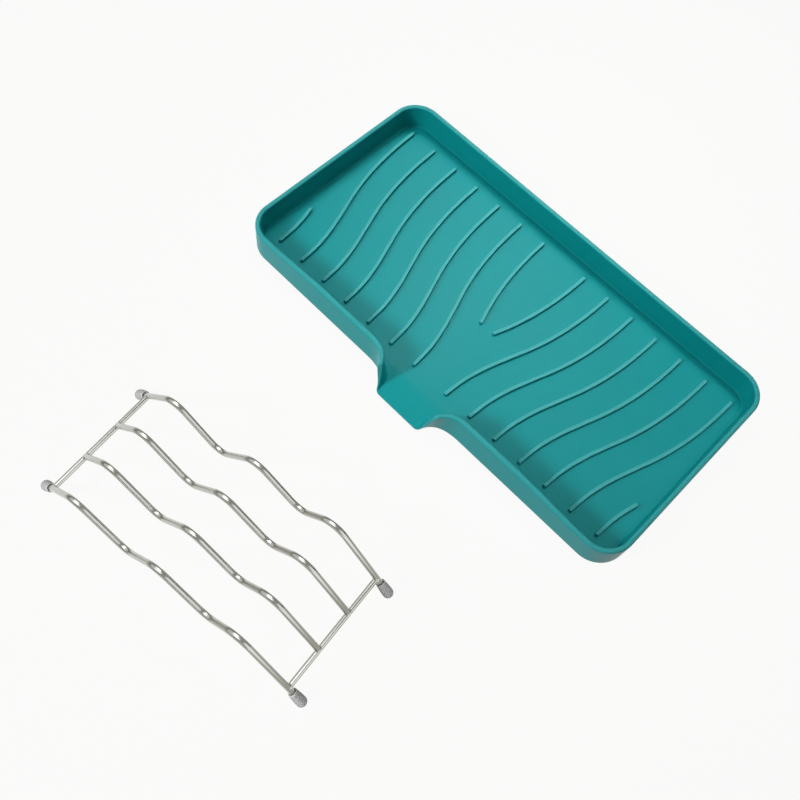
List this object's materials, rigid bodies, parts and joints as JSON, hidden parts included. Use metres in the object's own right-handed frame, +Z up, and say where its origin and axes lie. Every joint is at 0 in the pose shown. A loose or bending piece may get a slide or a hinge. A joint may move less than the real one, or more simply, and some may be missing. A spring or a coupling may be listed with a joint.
{
  "type": "soap dish",
  "caption": "Teal silicone soap and sponge tray with a ribbed floor and a pouring spout, and a wave-bent stainless wire rack with soft foot caps standing beside it.",
  "frame": {"origin": "The middle of the tray's flat underside, where it rests on the counter. The rack's feet stand on the same plane, z = 0.", "axes": "+X runs along the tray's long side, the longer side of the tray's underside. +Y points from the spout to the rear wall, so the spout pours towards -Y. +Z is up, out of the tray."},
  "size_m": [0.24, 0.2756, 0.0382],
  "materials": {
    "teal_silicone": "satin",
    "stainless_steel": "polished",
    "clear_plastic": "satin"
  },
  "bodies": {
    "tray": {"tray": "teal_silicone"},
    "rack": {"outer_wire_rear": "stainless_steel", "inner_wire_rear": "stainless_steel", "inner_wire_front": "stainless_steel", "outer_wire_front": "stainless_steel", "cross_rod_left": "stainless_steel", "cross_rod_right": "stainless_steel", "foot_cap_rear_left": "clear_plastic", "foot_cap_front_left": "clear_plastic", "foot_cap_rear_right": "clear_plastic", "foot_cap_front_right": "clear_plastic"}
  },
  "joints": [
    {"name": "rack_lift", "type": "slide", "parent": "tray", "child": "rack", "axis": [0, 0, 1], "range_m": [0, 0.06]}
  ]
}
